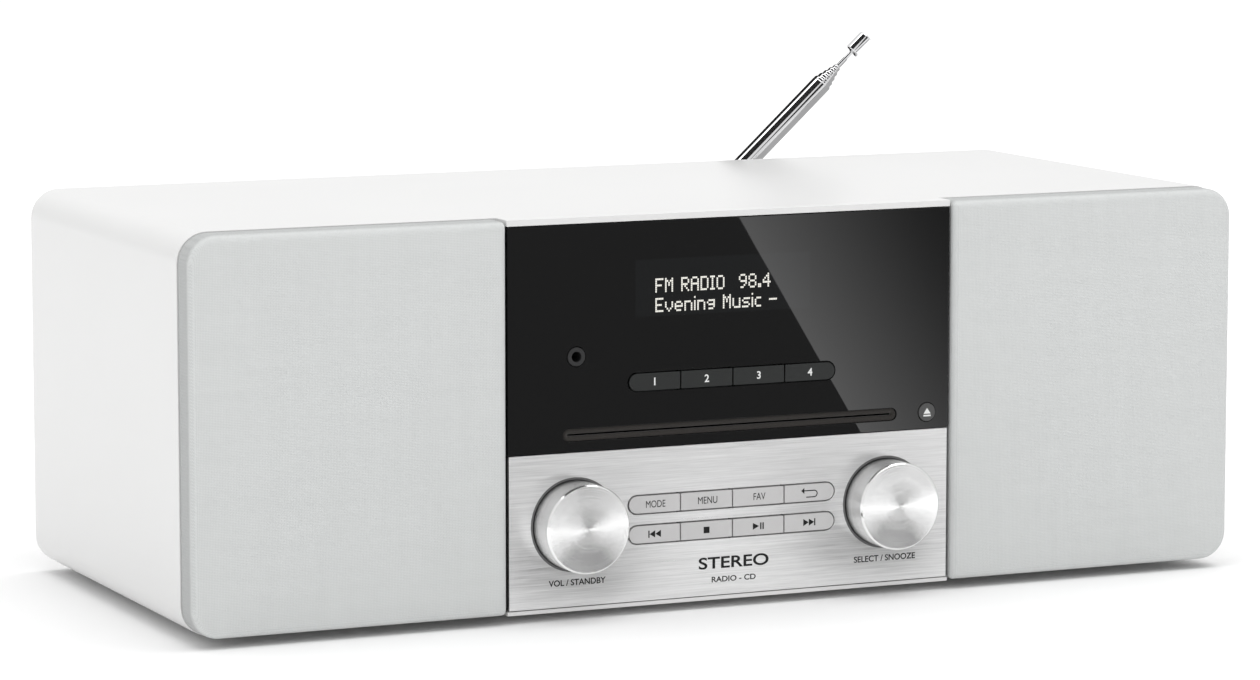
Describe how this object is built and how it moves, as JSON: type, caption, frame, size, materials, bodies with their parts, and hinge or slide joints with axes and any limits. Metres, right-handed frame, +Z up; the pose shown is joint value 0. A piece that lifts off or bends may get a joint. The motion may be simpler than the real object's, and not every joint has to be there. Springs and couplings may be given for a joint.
{
  "type": "tabletop radio",
  "caption": "Tabletop radio with a white cabinet, cloth grilles, black display window with a disc slot, push buttons, turning push knobs and a telescopic antenna.",
  "frame": {"origin": "on the standing surface, under the middle of the object's box at rest", "axes": "+X to the right seen from the front, +Y towards the back, +Z up"},
  "size_m": [0.4, 0.1942, 0.1865],
  "materials": {
    "cabinet_lacquer": "white satin-gloss lacquer over fibreboard",
    "baffle_board": "raw fibreboard",
    "black_plastic": "fine matt grain",
    "grille_cloth": "light grey woven cloth",
    "window_gloss": "polished black",
    "panel_aluminium": "brushed lengthways",
    "knob_aluminium": "spun face, polished edge",
    "display_glass": "dark filter",
    "preset_key": "dark, satin",
    "control_key": "light grey, satin",
    "eject_key": "dark, satin",
    "circuit_board": "solder mask",
    "plated_steel": "zinc plated",
    "speaker_cone": "black paper",
    "rubber": "matt",
    "antenna_chrome": "mirror polish"
  },
  "bodies": {
    "cabinet": {"cabinet_shell": "cabinet_lacquer", "front_baffle": "baffle_board", "rear_panel": "black_plastic", "grille_frame_left": "black_plastic", "grille_frame_right": "black_plastic", "grille_cloth_left": "grille_cloth", "grille_cloth_right": "grille_cloth", "display_window": "window_gloss", "control_panel": "panel_aluminium", "centre_carrier": "black_plastic", "display_module": "display_glass", "headphone_socket": "black_plastic", "key_board": "circuit_board", "volume_encoder_body": "plated_steel", "select_encoder_body": "plated_steel", "speaker_left_basket": "plated_steel", "speaker_left_magnet": "plated_steel", "speaker_right_basket": "plated_steel", "speaker_right_magnet": "plated_steel", "cd_chassis": "plated_steel", "cd_top_plate": "plated_steel", "main_board": "circuit_board", "power_board": "circuit_board", "mains_inlet": "black_plastic", "audio_socket_block": "black_plastic", "foot_front_left": "rubber", "foot_front_right": "rubber", "foot_rear_left": "rubber", "foot_rear_right": "rubber"},
    "preset_button_1": {"preset_button_1": "preset_key"},
    "preset_button_2": {"preset_button_2": "preset_key"},
    "preset_button_3": {"preset_button_3": "preset_key"},
    "preset_button_4": {"preset_button_4": "preset_key"},
    "mode_button": {"mode_button": "control_key"},
    "menu_button": {"menu_button": "control_key"},
    "favourite_button": {"favourite_button": "control_key"},
    "back_button": {"back_button": "control_key"},
    "skip_back_button": {"skip_back_button": "control_key"},
    "stop_button": {"stop_button": "control_key"},
    "play_pause_button": {"play_pause_button": "control_key"},
    "skip_forward_button": {"skip_forward_button": "control_key"},
    "eject_button": {"eject_button": "eject_key"},
    "volume_plunger": {"volume_plunger": "black_plastic"},
    "volume_knob": {"volume_knob": "knob_aluminium", "volume_shaft": "plated_steel"},
    "select_plunger": {"select_plunger": "black_plastic"},
    "select_knob": {"select_knob": "knob_aluminium", "select_shaft": "plated_steel"},
    "speaker_left_cone": {"speaker_left_cone": "speaker_cone"},
    "speaker_right_cone": {"speaker_right_cone": "speaker_cone"},
    "disc_spindle": {"disc_spindle": "black_plastic"},
    "loading_roller": {"loading_roller": "rubber"},
    "laser_sled": {"laser_sled": "black_plastic"},
    "antenna_swivel": {"antenna_swivel_block": "antenna_chrome"},
    "antenna_tube_1": {"antenna_tube_1": "antenna_chrome"},
    "antenna_tube_2": {"antenna_tube_2": "antenna_chrome"},
    "antenna_tube_3": {"antenna_tube_3": "antenna_chrome"},
    "antenna_tube_4": {"antenna_tube_4": "antenna_chrome"},
    "antenna_tube_5": {"antenna_tube_5": "antenna_chrome"},
    "antenna_rod": {"antenna_rod": "antenna_chrome"}
  },
  "joints": [
    {"name": "preset_button_1_press", "type": "slide", "parent": "cabinet", "child": "preset_button_1", "axis": [0, 1, 0], "range_m": [0, 0.0008], "stiffness_N_per_m": 400},
    {"name": "preset_button_2_press", "type": "slide", "parent": "cabinet", "child": "preset_button_2", "axis": [0, 1, 0], "range_m": [0, 0.0008], "stiffness_N_per_m": 400},
    {"name": "preset_button_3_press", "type": "slide", "parent": "cabinet", "child": "preset_button_3", "axis": [0, 1, 0], "range_m": [0, 0.0008], "stiffness_N_per_m": 400},
    {"name": "preset_button_4_press", "type": "slide", "parent": "cabinet", "child": "preset_button_4", "axis": [0, 1, 0], "range_m": [0, 0.0008], "stiffness_N_per_m": 400},
    {"name": "mode_button_press", "type": "slide", "parent": "cabinet", "child": "mode_button", "axis": [0, 1, 0], "range_m": [0, 0.0008], "stiffness_N_per_m": 400},
    {"name": "menu_button_press", "type": "slide", "parent": "cabinet", "child": "menu_button", "axis": [0, 1, 0], "range_m": [0, 0.0008], "stiffness_N_per_m": 400},
    {"name": "favourite_button_press", "type": "slide", "parent": "cabinet", "child": "favourite_button", "axis": [0, 1, 0], "range_m": [0, 0.0008], "stiffness_N_per_m": 400},
    {"name": "back_button_press", "type": "slide", "parent": "cabinet", "child": "back_button", "axis": [0, 1, 0], "range_m": [0, 0.0008], "stiffness_N_per_m": 400},
    {"name": "skip_back_button_press", "type": "slide", "parent": "cabinet", "child": "skip_back_button", "axis": [0, 1, 0], "range_m": [0, 0.0008], "stiffness_N_per_m": 400},
    {"name": "stop_button_press", "type": "slide", "parent": "cabinet", "child": "stop_button", "axis": [0, 1, 0], "range_m": [0, 0.0008], "stiffness_N_per_m": 400},
    {"name": "play_pause_button_press", "type": "slide", "parent": "cabinet", "child": "play_pause_button", "axis": [0, 1, 0], "range_m": [0, 0.0008], "stiffness_N_per_m": 400},
    {"name": "skip_forward_button_press", "type": "slide", "parent": "cabinet", "child": "skip_forward_button", "axis": [0, 1, 0], "range_m": [0, 0.0008], "stiffness_N_per_m": 400},
    {"name": "eject_button_press", "type": "slide", "parent": "cabinet", "child": "eject_button", "axis": [0, 1, 0], "range_m": [0, 0.0008], "stiffness_N_per_m": 400},
    {"name": "volume_push", "type": "slide", "parent": "cabinet", "child": "volume_plunger", "axis": [0, 1, 0], "range_m": [0, 0.0008], "stiffness_N_per_m": 800},
    {"name": "volume_turn", "type": "hinge", "parent": "volume_plunger", "child": "volume_knob", "pos_m": [-0.0598, -0.0851, 0.0332], "axis": [0, 1, 0], "continuous": true},
    {"name": "select_push", "type": "slide", "parent": "cabinet", "child": "select_plunger", "axis": [0, 1, 0], "range_m": [0, 0.0008], "stiffness_N_per_m": 800},
    {"name": "select_turn", "type": "hinge", "parent": "select_plunger", "child": "select_knob", "pos_m": [0.0598, -0.0851, 0.0332], "axis": [0, 1, 0], "continuous": true},
    {"name": "speaker_left_stroke", "type": "slide", "parent": "cabinet", "child": "speaker_left_cone", "axis": [0, 1, 0], "range_m": [-0.002, 0.002], "stiffness_N_per_m": 1200},
    {"name": "speaker_right_stroke", "type": "slide", "parent": "cabinet", "child": "speaker_right_cone", "axis": [0, 1, 0], "range_m": [-0.002, 0.002], "stiffness_N_per_m": 1200},
    {"name": "disc_spin", "type": "hinge", "parent": "cabinet", "child": "disc_spindle", "pos_m": [0, 0.0089, 0.0643], "axis": [0, 0, 1], "continuous": true},
    {"name": "roller_turn", "type": "hinge", "parent": "cabinet", "child": "loading_roller", "pos_m": [0, -0.0571, 0.0599], "axis": [1, 0, 0], "continuous": true},
    {"name": "sled_travel", "type": "slide", "parent": "cabinet", "child": "laser_sled", "axis": [1, 0, 0], "range_m": [0, 0.032]},
    {"name": "antenna_swing", "type": "hinge", "parent": "cabinet", "child": "antenna_swivel", "pos_m": [0.0392, 0.0931, 0.091], "axis": [0, 1, 0], "range_deg": [-137.8, 42.2]},
    {"name": "antenna_fold", "type": "hinge", "parent": "antenna_swivel", "child": "antenna_tube_1", "pos_m": [0.0392, 0.0931, 0.091], "axis": [-0.6717, 0, 0.7408], "range_deg": [0, 90]},
    {"name": "antenna_tube_2_slide", "type": "slide", "parent": "antenna_tube_1", "child": "antenna_tube_2", "axis": [0.7408, 0, 0.6717], "range_m": [0, 0.092]},
    {"name": "antenna_tube_3_slide", "type": "slide", "parent": "antenna_tube_2", "child": "antenna_tube_3", "axis": [0.7408, 0, 0.6717], "range_m": [0, 0.092]},
    {"name": "antenna_tube_4_slide", "type": "slide", "parent": "antenna_tube_3", "child": "antenna_tube_4", "axis": [0.7408, 0, 0.6717], "range_m": [0, 0.092]},
    {"name": "antenna_tube_5_slide", "type": "slide", "parent": "antenna_tube_4", "child": "antenna_tube_5", "axis": [0.7408, 0, 0.6717], "range_m": [0, 0.092]},
    {"name": "antenna_rod_slide", "type": "slide", "parent": "antenna_tube_5", "child": "antenna_rod", "axis": [0.7408, 0, 0.6717], "range_m": [0, 0.092]}
  ]
}
